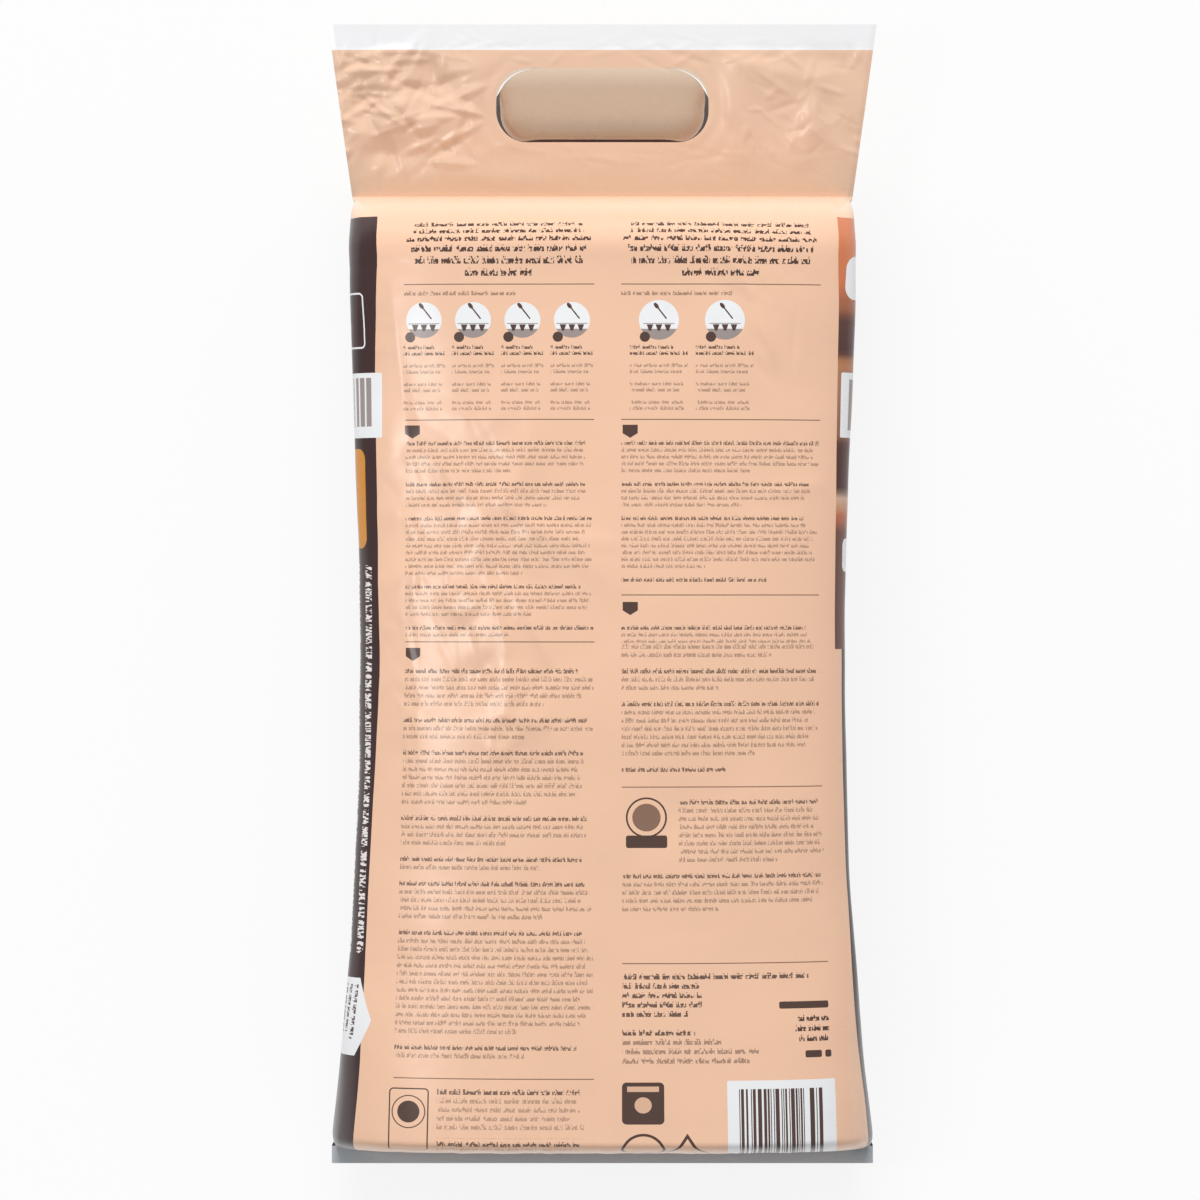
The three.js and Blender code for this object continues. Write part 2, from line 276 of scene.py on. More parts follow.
# The film is strained in rings round both ends of the handle
handle_end, handle_line, handle_round = 32.0, top_edge - 36.2, 17.0
ring_pitch, ring_reach, ring_height = 7.5, 9.0, 0.24
from_handle = np.hypot(np.maximum(0, np.abs(x) - handle_end), y - handle_line) - handle_round
ring_lines = np.sin(2 * np.pi * from_handle / ring_pitch) * np.exp(-np.maximum(from_handle, 0) / ring_reach)
header_crumple += ring_height * ring_lines * smooth(np.abs(x), 34, 50) * smooth(from_handle, 0, 2)
web[:, :, 2] += np.where(in_header, loose * fold_rise(header_folds, x, y), 0)
web[:, :, 2] += np.where(in_header, crumpled * header_crumple, 0)

# Creases in the filled film stand out along its own outward direction
panel_creases = (
    ((-52, 49), (-26, 27), 1.6, 3), ((-30, 29), (10, 23), 0.9, 2.5), ((-51, 24), (-22, -32), 1.7, 3.2),
    ((-53, 20), (-42, -27), 1.1, 3), ((-48, -52), (-22, -57), 0.9, 3), ((52, 160), (68, 134), 1.6, 3.2),
    ((66, 138), (79, 100), 1.5, 3.2), ((68, 45), (102, 52), 0.9, 3), ((-96, 150), (-86, 60), 0.9, 5),
)
filled = (y > body_start) & (y < header_start)
height_share = np.clip((web[:, :, 2] - gusset_line) / (body_height - gusset_line), 0, 1)
out = np.where(filled & on_back, height_share * fold_rise(panel_folds, x, y), 0)
out += np.where(filled & on_back, height_share * crease_rise(panel_creases, x, y), 0)
body_crumple = crumpled_film(panel_facets, panel_crinkles, x, y)
out += np.where(filled & on_back, height_share * body_crumple, 0)

# Gathers where the film is drawn in at both ends of the fill, and lumps of the fill under it
gather_height, gather_reach, lump_height, lump_size = 0.55, 16.0, 0.7, 38.0


def gather(place):
    broad, fine = noise.noise(Vector((place / 7, 0.4, 0))), noise.noise(Vector((place / 3.1, 5.4, 0)))
    return broad + 0.6 * fine


from_end = np.minimum(y - body_start, header_start - y)
gathers = np.array([[gather(place) for place in row] for row in across_web])
near_end = np.exp(-from_end / gather_reach) * smooth(from_end, 0, 5)
out += np.where(filled, gather_height * gathers * near_end, 0)
lumps = np.array([noise.noise(Vector(place) / lump_size) for place in web.reshape(-1, 3)])
out += np.where(filled, lump_height * lumps.reshape(x.shape) * smooth(from_end, 4, 40), 0)
along_web = np.gradient(web, axis=0)
round_web = np.gradient(web, axis=1)
outward = np.cross(along_web, round_web)
outward /= np.linalg.norm(outward, axis=2, keepdims=True) + 1e-9
web += outward * out[:, :, None]
web[:, -1] = web[:, 0]
web[:, :, 2] = np.maximum(web[:, :, 2], 0)

# How far each row of points lies along the web, down the middle of the panel. The print keeps register
# with the filled bag at the line of its picture steps.
picture_line, picture_place = 170.0, top_edge - 136.8
steps = np.linalg.norm(np.diff(web[::-1, back_half // 2], axis=0), axis=1)
reached = np.concatenate(([0], np.cumsum(steps)))[::-1]
register = picture_line - np.interp(picture_place, stations, reached)
down_web = np.repeat((reached + register)[:, None], ring_steps + 1, axis=1)

bpy.ops.object.select_all(action="DESELECT")
bpy.ops.mesh.primitive_grid_add(x_subdivisions=ring_steps, y_subdivisions=length_steps, size=1)
film = bpy.context.object
film.name = film.data.name = "film_tube"
film.data.vertices.foreach_set("co", (web / 1000).reshape(-1))
while film.data.uv_layers:
    film.data.uv_layers.remove(film.data.uv_layers[0])
corner_point = np.zeros(len(film.data.loops), np.int32)
film.data.loops.foreach_get("vertex_index", corner_point)
web_place = np.stack((across_web.reshape(-1), down_web.reshape(-1)), axis=1)[corner_point]
print_map = film.data.uv_layers.new(name="Print")
print_map.data.foreach_set("uv", web_place.reshape(-1))
bake_map = film.data.uv_layers.new(name="OFBake")
web_low, web_span = web_place.min(axis=0), np.ptp(web_place, axis=0).max()
bake_margin, bake_share = 0.005, 0.99
bake_place = bake_margin + bake_share * (web_place - web_low) / web_span
bake_map.data.foreach_set("uv", bake_place.reshape(-1))
bpy.ops.object.mode_set(mode="EDIT")
bpy.ops.mesh.select_all(action="SELECT")
bpy.ops.mesh.remove_doubles(threshold=1e-6)
bpy.ops.mesh.fill_holes(sides=0)
bpy.ops.mesh.normals_make_consistent(inside=False)
bpy.ops.object.mode_set(mode="OBJECT")
bpy.ops.object.shade_smooth()

# The welded ends between the layers take their places in both maps from the film beside them
maps = [film.data.uv_layers[name].data for name in ("Print", "OFBake")]
corner_of = {}
for face in film.data.polygons:
    if face.loop_total == 4:
        corner_of.update((film.data.loops[corner].vertex_index, corner) for corner in face.loop_indices)
for face in film.data.polygons:
    if face.loop_total > 4:
        for corner in face.loop_indices:
            for places in maps:
                places[corner].uv = places[corner_of[film.data.loops[corner].vertex_index]].uv


# Carry handle: a die punches a flap out of both layers of the header and leaves its upper edge uncut.
# The cut is made with a thin blade of the die's outline, and the flap is then pushed in a little.
handle_width, handle_height, hinge_line, hinge_width = 97.0, 33.5, top_edge - 19.5, 56.0
cut_width, flap_angle, flap_bend = 0.5, math.radians(24), 9.0
upper_corner, lower_corner = (19.0, 15.5), (14.0, 14.0)
handle_foot = hinge_line - handle_height
turn_line = handle_foot + lower_corner[1]


def die_edge(side, foot, upper_x, upper_from, upper_reach, lower_reach):
    lower_x = side - lower_reach[0]
    upper = [(upper_x + upper_reach[0] * math.cos(a), upper_from + upper_reach[1] * math.sin(a))
             for a in np.linspace(math.pi / 2, 0, 25)]
    lower = [(lower_x + lower_reach[0] * math.cos(a), foot + lower_reach[1] * (1 + math.sin(a)))
             for a in np.linspace(0, -math.pi / 2, 25)]
    right = upper + lower
    return right + [(-px, py) for px, py in right[::-1]]


side = handle_width / 2
hole_edge = die_edge(side, handle_foot, side - upper_corner[0], hinge_line - upper_corner[1],
                     upper_corner, lower_corner)
flap_upper = (side - cut_width - hinge_width / 2, upper_corner[1] + cut_width)
flap_lower = (lower_corner[0] - cut_width, lower_corner[1] - cut_width)
flap_edge = die_edge(side - cut_width, handle_foot + cut_width, hinge_width / 2, hinge_line - flap_upper[1],
                     flap_upper, flap_lower)
blade_low, blade_depth = 0.03, 0.04
blade_mesh = bpy.data.meshes.new("die_blade")
blade = bpy.data.objects.new("die_blade", blade_mesh)
bpy.context.collection.objects.link(blade)
shape = bmesh.new()
ring = [shape.verts.new((px / 1000, py / 1000, blade_low)) for px, py in hole_edge + flap_edge[::-1]]
face = shape.faces.new(ring)
raised = bmesh.ops.extrude_face_region(shape, geom=[face])["geom"]
bmesh.ops.translate(shape, vec=(0, 0, blade_depth),
                    verts=[part for part in raised if isinstance(part, bmesh.types.BMVert)])
bmesh.ops.remove_doubles(shape, verts=shape.verts[:], dist=1e-6)
bmesh.ops.recalc_face_normals(shape, faces=shape.faces[:])
shape.to_mesh(blade_mesh)
shape.free()

cut = film.modifiers.new("die_cut", "BOOLEAN")
cut.operation, cut.object, cut.solver = "DIFFERENCE", blade, "EXACT"
bpy.context.view_layer.objects.active = film
bpy.ops.object.modifier_apply(modifier=cut.name)
bpy.data.objects.remove(blade)

# The walls round the hole take their places in both maps from the back face of the film beside them,
# and those round the flap take a place in the dark brown field far down the front, as painted shade in the
# slit
maps = [film.data.uv_layers[name].data for name in ("Print", "OFBake")]
back_edge, cut_walls = {}, []
for face in film.data.polygons:
    if all(maps[1][corner].uv.length == 0 for corner in face.loop_indices):
        cut_walls.append(face)
    elif face.normal.z > 0 and abs(face.center.x) < 0.06 and face.center.y > header_start / 1000:
        back_edge.update((film.data.loops[corner].vertex_index, corner) for corner in face.loop_indices)
wall_points = {film.data.loops[corner].vertex_index for face in cut_walls for corner in face.loop_indices}
beside = [point for point in wall_points if point in back_edge]
# Painted shade: a place in the dark field far down the front, which darkens the walls round the flap
slit_shade_place = np.array((-flat_width - 2 * gusset_depth, 300.0))
slit_shade_places = (slit_shade_place, bake_margin + bake_share * (slit_shade_place - web_low) / web_span)
handle_middle = Vector((0, (hinge_line + handle_foot) / 2000))
for face in cut_walls:
    on_flap = (face.center.xy - handle_middle).dot(face.normal.xy) > 0
    for corner in face.loop_indices:
        here = film.data.vertices[film.data.loops[corner].vertex_index].co.xy
        nearest = min(beside, key=lambda point: (film.data.vertices[point].co.xy - here).length)
        for places, front in zip(maps, slit_shade_places):
            places[corner].uv = front if on_flap else places[back_edge[nearest]].uv
bpy.ops.object.shade_smooth_by_angle(angle=math.radians(60))

# The flap bends down from its hinge. Along the cut its back layer curls down and draws in, most of all at
# both ends, and its front layer hangs lower and reaches out under the film round the hole.
rim_drop, end_drop, front_drop = 1.5, 4.5, 5.0
rim_draw, end_ease, front_reach = 2.1, 0.9, 2.6
points = np.zeros(3 * len(film.data.vertices))
film.data.vertices.foreach_get("co", points)
points = 1000 * points.reshape(-1, 3)
in_handle = (np.abs(points[:, 0]) < side) & (points[:, 1] > handle_foot) & (points[:, 1] < hinge_line)
near = np.flatnonzero(in_handle)
px, py = points[near, 0], points[near, 1]
grown = np.array([(gx * 1.003, turn_line + (gy - turn_line) * 1.003) for gx, gy in flap_edge])
inside = np.zeros(len(near), bool)
for (ax, ay), (bx, by) in zip(grown, np.roll(grown, -1, axis=0)):
    if ay != by:
        inside ^= ((ay > py) != (by > py)) & (px < ax + (py - ay) / (by - ay) * (bx - ax))
near, px, py = near[inside], px[inside], py[inside]
reach, slope = hinge_line - py, math.tan(flap_angle)
drop = np.where(reach > flap_bend, slope * (reach - flap_bend / 2), slope * reach ** 2 / (2 * flap_bend))
from_edge = np.full(len(near), handle_width)
for (ax, ay), (bx, by) in zip(flap_edge[:-1], flap_edge[1:]):
    share = ((px - ax) * (bx - ax) + (py - ay) * (by - ay)) / ((bx - ax) ** 2 + (by - ay) ** 2)
    share = np.clip(share, 0, 1)
    from_edge = np.minimum(from_edge, np.hypot(px - ax - share * (bx - ax), py - ay - share * (by - ay)))
tucked = smooth(reach, 8, 18)
to_end = smooth(np.abs(px), 26, 46)
drop += (rim_drop * np.exp(-from_edge / 2) + end_drop * to_end * np.exp(-from_edge / 4)) * tucked
to_side = np.stack((px / side, (py - turn_line) / handle_height), axis=1)
to_side[:, 0] *= smooth(np.abs(px), 30, 46)
to_side[:, 1] *= smooth(turn_line - py, 0, 8)
to_side /= np.linalg.norm(to_side, axis=1, keepdims=True) + 1e-6
upper_face = np.zeros(len(points), bool)
for face in film.data.polygons:
    if face.normal.z > 0.5:
        upper_face[list(face.vertices)] = True
underside = ~upper_face[near]
front_rim = underside & (from_edge < 0.2)
drawn_in = (rim_draw - end_ease * to_end) * np.exp(-from_edge / 2)
points[near, :2] += to_side * (np.where(front_rim, front_reach, -drawn_in) * tucked)[:, None]
points[near, 2] -= drop + np.where(underside, front_drop * np.exp(-from_edge / 2.5) * tucked, 0)
film.data.vertices.foreach_set("co", (points / 1000).reshape(-1))
film.data.update()


# Print: inks on white film, laid down while the web is still flat, so they follow it over the bag.
# A peach field with brown fields at its sides, rules, plain marks and rows of strokes in place of words.
# Places are across the web from the middle of the back, and down it from the top edge.
film_material = bpy.data.materials.new("printed_film")
film_material.use_nodes = True
nodes, links = film_material.node_tree.nodes, film_material.node_tree.links
shader = nodes["Principled BSDF"]
web_node = nodes.new("ShaderNodeUVMap")
web_node.uv_map = "Print"
spot = web_node.outputs["UV"]
split = nodes.new("ShaderNodeSeparateXYZ")
links.new(spot, split.inputs[0])
u, v = split.outputs["X"], split.outputs["Y"]
ramp_reach = 640


def colour(red, green, blue):
    return tuple(((c / 255 + 0.055) / 1.055) ** 2.4 for c in (red, green, blue)) + (1,)


def wire(node, values):
    for socket, value in zip(node.inputs, values):
        if isinstance(value, (int, float, tuple)):
            socket.default_value = value
        else:
            links.new(value, socket)


def work(operation, *values):
    node = nodes.new("ShaderNodeMath")
    node.operation = operation
    wire(node, values)
    return node.outputs[0]


def measure(operation, *values):
    node = nodes.new("ShaderNodeVectorMath")
    node.operation = operation
    wire(node, values)
    return node.outputs["Value" if operation in ("LENGTH", "DISTANCE") else "Vector"]


def between(value, low, high):
    return work("COMPARE", value, (low + high) / 2, (high - low) / 2)


def both(*masks):
    mask = masks[0]
    for other in masks[1:]:
        mask = work("MULTIPLY", mask, other)
    return mask


def either(*masks):
    mask = masks[0]
    for other in masks[1:]:
        mask = work("MAXIMUM", mask, other)
    return mask


def field(left, right, top, bottom):
    return both(between(u, left, right), between(v, top, bottom))


def tag(left, right, top, bottom, corner):
    middle = ((left + right) / 2, (top + bottom) / 2, 0)
    reach = ((right - left) / 2 - corner, (bottom - top) / 2 - corner, 0)
    beyond = measure("SUBTRACT", measure("ABSOLUTE", measure("SUBTRACT", spot, middle)), reach)
    return work("LESS_THAN", measure("LENGTH", measure("MAXIMUM", beyond, (0, 0, 0))), corner)


def frame_line(left, right, top, bottom, corner, line):
    inner = tag(left + line, right - line, top + line, bottom - line, corner - line)
    return work("SUBTRACT", tag(left, right, top, bottom, corner), inner)


def disc(across, down, radius):
    return work("LESS_THAN", measure("DISTANCE", spot, (across, down, 0)), radius)


def circle(across, down, radius, line):
    return work("COMPARE", measure("DISTANCE", spot, (across, down, 0)), radius, line / 2)


def chance(value, seed):
    node = nodes.new("ShaderNodeTexWhiteNoise")
    node.noise_dimensions = "1D"
    links.new(work("ADD", value, seed), node.inputs["W"])
    return node.outputs["Value"]


def strokes(across, row, left, right, letter, seed, ragged=0.14, thin=0.0, stems=0.62):
    line, within = work("FLOOR", row), work("FRACT", row)
    short = work("MULTIPLY", work("SUBTRACT", right, left), work("MULTIPLY", chance(line, seed), ragged))
    span = both(work("GREATER_THAN", across, left),
                work("LESS_THAN", across, work("SUBTRACT", right, short)))
    gaps = nodes.new("ShaderNodeTexVoronoi")
    gaps.voronoi_dimensions, gaps.feature = "1D", "DISTANCE_TO_EDGE"
    gaps.inputs["Scale"].default_value = 1
    links.new(work("MULTIPLY_ADD", across, 0.2 / letter, work("MULTIPLY", line, 7.31)), gaps.inputs["W"])
    word = work("GREATER_THAN", gaps.outputs["Distance"], 0.075)
    shapes = nodes.new("ShaderNodeTexNoise")
    shapes.noise_dimensions = "2D"
    shapes.inputs["Scale"].default_value = 1
    shapes.inputs["Detail"].default_value = 1
    place = nodes.new("ShaderNodeCombineXYZ")
    links.new(work("DIVIDE", across, 0.62 * letter), place.inputs["X"])
    links.new(work("MULTIPLY_ADD", line, 11.3, work("MULTIPLY", within, 2.6)), place.inputs["Y"])
    links.new(place.outputs[0], shapes.inputs["Vector"])
    body = both(between(within, 0.32, 0.74), work("GREATER_THAN", shapes.outputs["Fac"], 0.42 + thin))
    tall = both(between(within, 0.1, 0.5), work("GREATER_THAN", shapes.outputs["Fac"], stems + thin / 2))
    return both(span, word, either(body, tall))


def stepped(place, stops, total, interpolation):
    ramp = nodes.new("ShaderNodeValToRGB")
    ramp.color_ramp.interpolation = interpolation
    elements = ramp.color_ramp.elements
    elements.remove(elements[1])
    for number, (at, shade) in enumerate(stops):
        element = elements[0] if number == 0 else elements.new(at / total)
        element.position = at / total
        element.color = shade if isinstance(shade, tuple) else (shade, shade, shade, 1)
    links.new(work("DIVIDE", place, total), ramp.inputs["Fac"])
    return ramp.outputs["Color"]


def drawn_edge(points):
    low, high = (pick(across for down, across in points) for pick in (min, max))
    stops = [(down, (across - low) / (high - low)) for down, across in points]
    return work("MULTIPLY_ADD", stepped(v, stops, ramp_reach, "LINEAR"), high - low, low)


def paragraphs(line, spans, total):
    stops = [(0, 0)] + [stop for first, last in spans for stop in ((first + 0.001, 1), (last + 1, 0))]
    return stepped(work("ADD", line, 0.5), stops, total, "CONSTANT")


layers = [colour(243, 199, 169)]


def over(mask, ink):
    node = nodes.new("ShaderNodeMix")
    node.data_type = "RGBA"
    wire(node, (mask,))
    for socket, value in ((node.inputs["A"], layers[-1]), (node.inputs["B"], ink)):
        if isinstance(value, tuple):
            socket.default_value = value
        else:
            links.new(value, socket)
    layers.append(node.outputs["Result"])


brown = colour(62, 40, 40)
text_brown, grey_brown = colour(84, 62, 54), colour(158, 146, 142)
rule_tan = colour(140, 108, 90)
white = colour(240, 241, 243)

# The peach ink is a little uneven. The header is painted a little duller than the body and darker toward the
# fold below it, as painted shade;
# the flap is painted paler and greyer, as painted shade and sheen; and the shoulder is painted paler, as a
# painted highlight where it faces the lamp.
cloud = nodes.new("ShaderNodeTexNoise")
cloud.inputs["Scale"].default_value = 0.03
cloud.inputs["Detail"].default_value = 2
links.new(spot, cloud.inputs["Vector"])
over(work("MULTIPLY", cloud.outputs["Fac"], 0.3), colour(240, 193, 162))
fold_line = np.interp(header_start, stations, down_web[:, 0])
# Painted shade: the header is painted duller than the body
over(work("LESS_THAN", v, fold_line), colour(239, 200, 172))
# Painted shade: darker toward the fold below the header
fold_shade_stops = ((0, 0), (fold_line - 24, 0), (fold_line - 1, 0.9), (fold_line, 0))
over(stepped(v, fold_shade_stops, ramp_reach, "LINEAR"), colour(216, 186, 160))
# Painted highlight: the shoulder is painted paler where it faces the lamp
shoulder_highlight_stops = ((fold_line, 0), (fold_line + 0.5, 1), (108, 1), (120, 0))
over(stepped(v, shoulder_highlight_stops, ramp_reach, "LINEAR"), colour(250, 215, 189))
flap_top, flap_foot = np.interp((hinge_line, handle_foot), stations, down_web[:, 0])
# Painted shade and sheen: the recessed flap is painted paler and greyer
over(tag(-side, side, flap_top, flap_foot, lower_corner[0]), colour(231, 208, 185))

# Side fields, which run on round the gussets and over the whole front
shoulder_line, strip_end, strip_edge, strip_inset = 117.0, 318.0, 140.0, 6.0
below_shoulder = work("GREATER_THAN", v, shoulder_line)
left_edge = drawn_edge(((116, -102), (140, -101.7), (192, -104.2), (278, -103.7), (330, -102.3),
                        (386, -105), (455, -106.2), (503, -104.3), (560, -104)))
right_edge = drawn_edge(((116, 106.2), (138, 106.2), (161, 107.9), (192, 109), (318, 109.6),
                         (368, 108.6), (431, 110.1), (486, 107.6), (504, 107.1), (536, 105.2)))
right_edge = work("MULTIPLY_ADD", work("GREATER_THAN", v, strip_end), strip_inset, right_edge)
right_side = both(below_shoulder, work("GREATER_THAN", u, right_edge))
over(both(below_shoulder, work("LESS_THAN", u, left_edge)), brown)
over(right_side, brown)
strip_stops = ((116, (216, 128, 84)), (150, (212, 124, 82)), (163, (170, 104, 76)), (170, (96, 64, 58)),
               (184, (88, 58, 54)), (189, (190, 130, 92)), (194, (176, 124, 96)), (221, (150, 104, 84)),
               (226, (86, 56, 50)), (246, (80, 50, 46)), (250, (214, 178, 156)), (254, (205, 150, 115)),
               (258, (188, 108, 78)), (266, (110, 74, 64)), (318, (106, 70, 66)))
strip = stepped(v, [(down, colour(*shade)) for down, shade in strip_stops], ramp_reach, "EASE")
over(both(right_side, work("LESS_THAN", v, strip_end), work("LESS_THAN", u, strip_edge)), strip)

# Plain labels, frames and bars on the side fields
over(tag(111, 126, 140, 160, 6), white)
over(tag(111.4, 126, 193, 222.4, 0.8), white)
over(both(between(u, 117.5, 126), between(v, 196, 219)), grey_brown)
over(tag(115.5, 126, 268, 283, 3), white)
over(frame_line(-130, -109.6, 157, 182.3, 2.5, 0.8), white)
over(tag(-126, -100.2, 193.3, 222.6, 0.8), white)
side_bar_width = 1.1
side_bars = work("GREATER_THAN", chance(work("FLOOR", work("DIVIDE", u, side_bar_width)), 57.0), 0.45)
over(both(side_bars, field(-124, -106.4, 195.5, 217.5)), grey_brown)
over(tag(-130, -111.6, 227.5, 272.5, 5), colour(214, 142, 52))
label_line, label_slope, label_tip = 484.8, 0.42, -100.4
point = work("MULTIPLY_ADD", work("ABSOLUTE", work("SUBTRACT", v, label_line)), label_slope, u)
pointed_label = both(between(v, 466, 501), work("LESS_THAN", point, label_tip), work("GREATER_THAN", u, -124))
over(pointed_label, white)
label_row = work("DIVIDE", work("ADD", u, 121), 4.4)
label_words = strokes(v, label_row, 469.0, 494.0, 1.2, 61.0)
over(both(label_words, between(label_row, 0, 3)), text_brown)
side_row = work("DIVIDE", work("ADD", u, 116.8), 11.9)
side_words = strokes(v, side_row, 279.0, 455.0, 1.7, 4.0, 0.0, 0.07, 1.0)
over(both(side_words, between(side_row, -1, 1)), colour(236, 230, 228))

# Two columns of print on the back panel, with rules across them
column_gap, rule_half = 2, 0.24
in_right = work("GREATER_THAN", u, column_gap)
in_left = work("SUBTRACT", 1, in_right)


def by_column(left, right):
    return work("MULTIPLY_ADD", in_right, right - left, left)


def rows(start, pitch):
    return work("DIVIDE", work("SUBTRACT", v, start), pitch)


column_left, column_right = by_column(-89.2, 8.4), by_column(-3.6, 98.8)
in_column = both(work("GREATER_THAN", u, column_left), work("LESS_THAN", u, column_right))
left_rules = [work("COMPARE", v, down, rule_half) for down in (153.9, 214.8, 314.6, 509.8)]
right_rules = [work("COMPARE", v, down, rule_half) for down in (153.9, 214.8, 293.6, 379.4, 458.2)]
over(both(in_column, in_left, either(*left_rules)), rule_tan)
over(both(in_column, in_right, either(*right_rules)), rule_tan)

# Opening lines at the shoulder, centred on each column. They stand closer at the top, on the turned film.
opening_top, opening_depth, opening_count = 122.4, 29.2, 6
opening_stops = [(0, 0), (opening_depth, 1)]
for line, middle in enumerate((2.4, 6.9, 10.8, 15.6, 21.1, 26.6)):
    opening_stops.insert(-1, (middle, (line + 0.53) / opening_count))
opening_share = stepped(work("SUBTRACT", v, opening_top), opening_stops, opening_depth, "LINEAR")
opening_row = work("MULTIPLY", opening_share, opening_count)
opening_line = work("FLOOR", opening_row)
last_opening = work("GREATER_THAN", opening_line, 4.5)
full_reach = work("SUBTRACT", by_column(41.5, 44.0), work("MULTIPLY", chance(opening_line, 2.0), 4))
reach = work("SUBTRACT", full_reach, work("MULTIPLY", last_opening, 24))
centre = by_column(-46.6, 53.3)
opening_left, opening_right = work("SUBTRACT", centre, reach), work("ADD", centre, reach)
opening = strokes(u, opening_row, opening_left, opening_right, 1.7, 9.0, 0.0, 0.03)
over(both(opening, between(opening_row, 0, opening_count)), text_brown)

# Picture steps: white discs with a tool over a row of pots, each with a small dark spot and short lines
# under it
ground_line, pot_top, pot_foot, pot_pitch = 174, 172, 174.9, 4.0
tool_middle, tool_blade = (1.2, -3.4, 0), (-2.6, -3.4, 0)
step_left = work("SUBTRACT", work("MODULO", work("ADD", u, 202.4), 22.2), 11.1)
step_right = work("SUBTRACT", work("MODULO", work("SUBTRACT", u, 10.5), 29.6), 14.8)
step = work("ADD", work("MULTIPLY", step_left, in_left), work("MULTIPLY", step_right, in_right))
in_steps = either(between(u, -91.4, -2.6), between(u, 10.5, 69.7))
step_join = nodes.new("ShaderNodeCombineXYZ")
links.new(step, step_join.inputs["X"])
links.new(work("SUBTRACT", v, picture_line), step_join.inputs["Y"])
step_spot = step_join.outputs[0]
step_disc = both(in_steps, work("LESS_THAN", measure("LENGTH", step_spot), by_column(8.05, 8.95)))
over(step_disc, white)
over(both(step_disc, work("GREATER_THAN", v, ground_line)), grey_brown)
pot = work("SUBTRACT", work("MODULO", work("ADD", step, 42), pot_pitch), pot_pitch / 2)
pot_side = work("MULTIPLY_ADD", work("SUBTRACT", v, pot_top), -0.35, 1.5)
in_pot = work("LESS_THAN", work("ABSOLUTE", pot), pot_side)
over(both(step_disc, between(step, -6, 6), between(v, pot_top, pot_foot), in_pot), text_brown)
over(both(step_disc, between(step, -7, 7), between(v, 171.4, 171.8)), grey_brown)
tool_turn = nodes.new("ShaderNodeVectorRotate")
tool_turn.rotation_type = "Z_AXIS"
tool_turn.inputs["Center"].default_value = tool_middle
tool_turn.inputs["Angle"].default_value = math.radians(-52)
links.new(step_spot, tool_turn.inputs["Vector"])
tool_spot = measure("ABSOLUTE", measure("SUBTRACT", tool_turn.outputs[0], tool_middle))
shaft = measure("MAXIMUM", measure("SUBTRACT", tool_spot, (3.4, 0.05, 0)), (0, 0, 0))
over(both(step_disc, work("LESS_THAN", measure("LENGTH", shaft), 0.28)), text_brown)
blade_spot = measure("MULTIPLY", measure("SUBTRACT", tool_turn.outputs[0], tool_blade), (0.55, 1, 0))
over(both(step_disc, work("LESS_THAN", measure("LENGTH", blade_spot), 0.85)), text_brown)
over(both(in_steps, work("LESS_THAN", measure("DISTANCE", step_spot, (-6.3, 7.6, 0)), 2.3)), text_brown)
caption_row = rows(181, 2.75)
caption_reach = by_column(9.6, 13.1)
caption = strokes(step, caption_row, work("MULTIPLY", caption_reach, -1), caption_reach, 1.15, 17.0, 0.3)
two_of_three = work("LESS_THAN", work("MODULO", work("FLOOR", caption_row), 3), 1.5)
caption_on = both(in_steps, between(caption_row, 0, 11), two_of_three)
caption_ink = work("MULTIPLY_ADD", work("LESS_THAN", caption_row, 2), 0.4, 0.5)
over(both(caption, caption_on, caption_ink), text_brown)
lead_row = rows(156.6, 3.1)
lead = strokes(u, lead_row, column_left, work("ADD", column_left, 52), 1.3, 23.0)
over(both(lead, between(lead_row, 0, 0.99), 0.6), text_brown)


# Shields that open each run of text
def shield(across, down):
    beside = work("ABSOLUTE", work("SUBTRACT", u, across))
    below = work("SUBTRACT", v, down)
    point = work("LESS_THAN", work("MULTIPLY_ADD", beside, 0.62, below), 3.2)
    return both(point, work("LESS_THAN", beside, 3.4), work("GREATER_THAN", below, -2.7))


shields = either(shield(-86.0, 219.9), shield(-85.6, 320), shield(12.4, 219.9), shield(12.4, 299.4))
over(shields, text_brown)

# Running text: the rows stand closer above a break in the layout than below it. Each span is the first
# and the last line of a paragraph, whose first line is darker and whose last line is short.
break_line, lower_pitch, lower_start = 315, 3.66, 30
upper = work("LESS_THAN", v, break_line)
upper_row = rows(224, 3.07)
lower_row = work("MULTIPLY_ADD", work("SUBTRACT", v, break_line), 1 / lower_pitch, lower_start)
text_row = work("ADD", work("MULTIPLY", upper_row, upper),
                work("MULTIPLY", lower_row, work("SUBTRACT", 1, upper)))
text_line = work("FLOOR", text_row)
line_count, column_step = 84, 37
left_spans = ((0, 4), (6, 9), (11, 19), (21, 25), (27, 28), (33, 37), (39, 41), (43, 49),
              (51, 54), (56, 57), (59, 63), (65, 77), (79, 80))
right_spans = ((0, 4), (6, 9), (11, 18), (20, 20), (27, 31), (33, 35), (37, 43), (45, 45),
               (49, 56), (58, 62))
present = []
for shift in (-1, 0, 1):
    shifted = work("ADD", text_line, shift)
    on_left = both(paragraphs(shifted, left_spans, line_count), in_left)
    present.append(work("ADD", on_left, both(paragraphs(shifted, right_spans, line_count), in_right)))
first_line = both(present[1], work("SUBTRACT", 1, present[0]))
last_line = both(present[1], work("SUBTRACT", 1, present[2]))
column_seed = work("MULTIPLY_ADD", in_right, column_step, text_line)
beside_mark = both(in_right, between(text_line, 48.5, 56.5))
text_left = work("MULTIPLY_ADD", beside_mark, 24.8, column_left)
text_reach = work("SUBTRACT", column_right, text_left)
left_over = work("MULTIPLY_ADD", chance(column_seed, 3.0), 0.4, 0.2)
